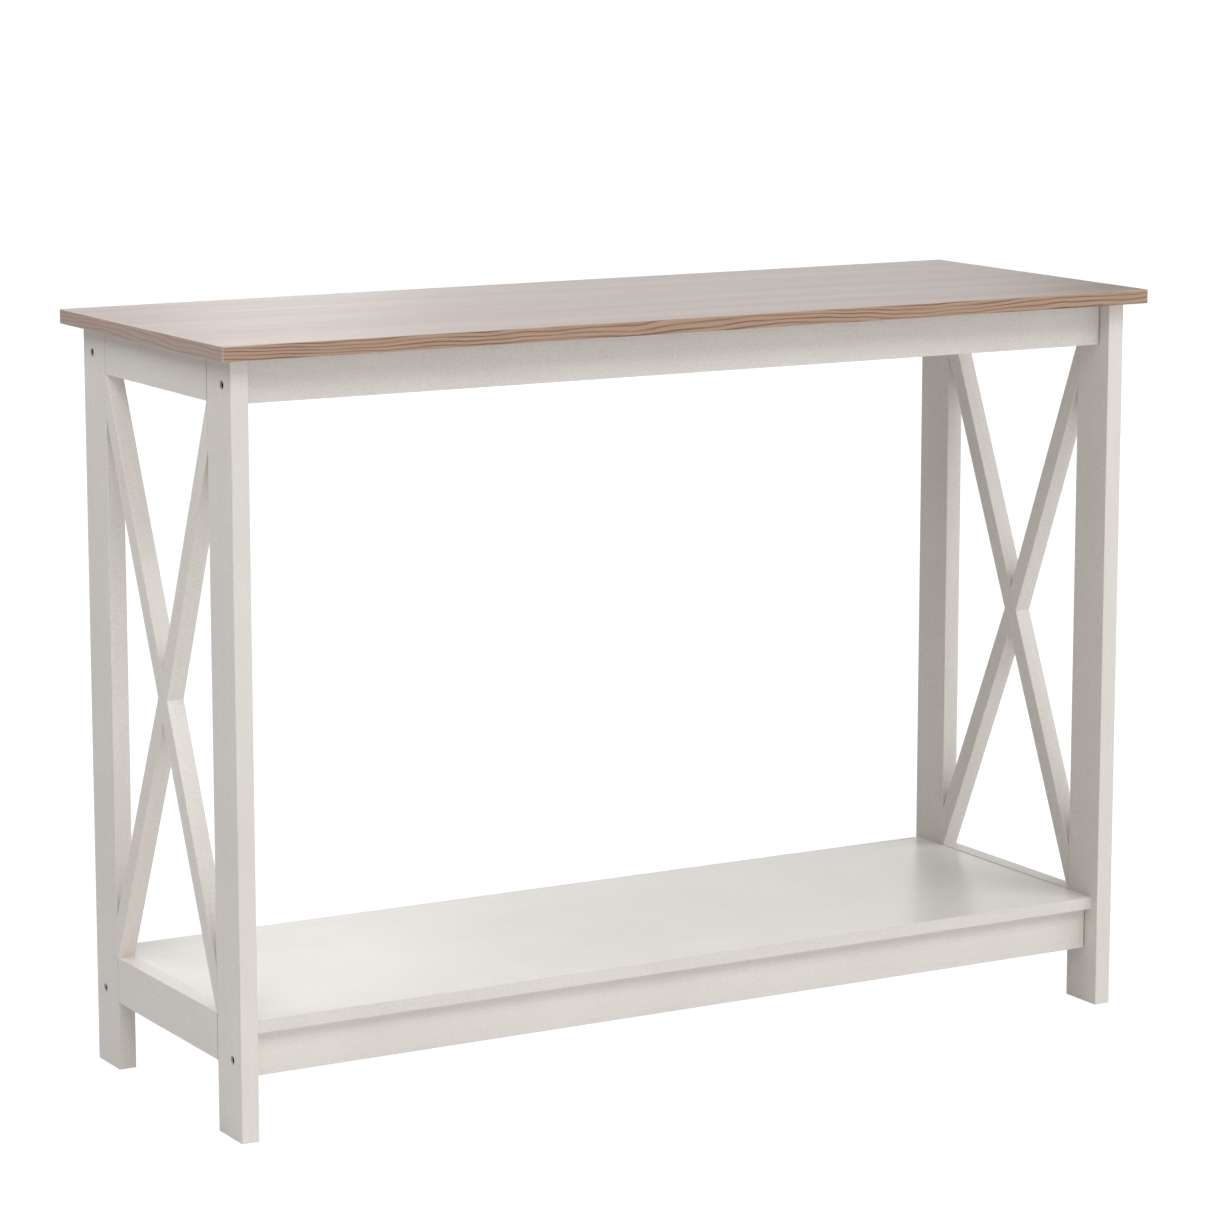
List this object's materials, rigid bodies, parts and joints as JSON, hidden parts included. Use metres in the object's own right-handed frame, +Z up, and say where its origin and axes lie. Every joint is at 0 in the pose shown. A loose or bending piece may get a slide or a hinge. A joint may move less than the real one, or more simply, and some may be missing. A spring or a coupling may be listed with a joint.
{
  "type": "console table",
  "caption": "Long narrow console table with a slim overhanging wood-look top, X-braced end frames, straight aprons and a low full-length shelf.",
  "frame": {"origin": "centre of the table's footprint, on the floor", "axes": "+X along the table's length, -Y is the front, +Z up"},
  "size_m": [1.1, 0.4, 0.8],
  "materials": {
    "top_laminate": "satin greige laminate with a faint lengthwise grain",
    "oak_edge_band": "satin oak-look edge band",
    "end_edge_band": "satin grey-brown edge band",
    "white_laminate": "satin off-white wood-grain laminate",
    "shelf_laminate": "satin off-white laminate",
    "dowel_wood": "unfinished beech",
    "cam_metal": "black oxide",
    "stud_steel": "zinc plated"
  },
  "bodies": {
    "root": {"apron_front": "white_laminate", "apron_rear": "white_laminate", "bottom_end_rail_left": "white_laminate", "bottom_end_rail_right": "white_laminate", "brace_dowels_left": "dowel_wood", "brace_dowels_right": "dowel_wood", "brace_long_left": "white_laminate", "brace_long_right": "white_laminate", "brace_lower_left": "white_laminate", "brace_lower_right": "white_laminate", "brace_upper_left": "white_laminate", "brace_upper_right": "white_laminate", "frame_cams_left": "cam_metal", "frame_cams_right": "cam_metal", "frame_dowels_left": "dowel_wood", "frame_dowels_right": "dowel_wood", "frame_studs_left": "stud_steel", "frame_studs_right": "stud_steel", "leg_front_left": "white_laminate", "leg_front_right": "white_laminate", "leg_rear_left": "white_laminate", "leg_rear_right": "white_laminate", "long_rail_cams": "cam_metal", "long_rail_dowels": "dowel_wood", "long_rail_studs": "stud_steel", "lower_rail_front": "white_laminate", "lower_rail_rear": "white_laminate", "shelf_cams": "cam_metal", "shelf_dowels": "dowel_wood", "shelf_edge_front": "shelf_laminate", "shelf_edge_rear": "shelf_laminate", "shelf_panel": "shelf_laminate", "shelf_studs": "stud_steel", "table_top": "top_laminate", "top_cams": "cam_metal", "top_dowels": "dowel_wood", "top_edge_front": "oak_edge_band", "top_edge_left": "end_edge_band", "top_edge_rear": "oak_edge_band", "top_edge_right": "end_edge_band", "top_end_rail_left": "white_laminate", "top_end_rail_right": "white_laminate", "top_studs": "stud_steel"}
  },
  "joints": []
}
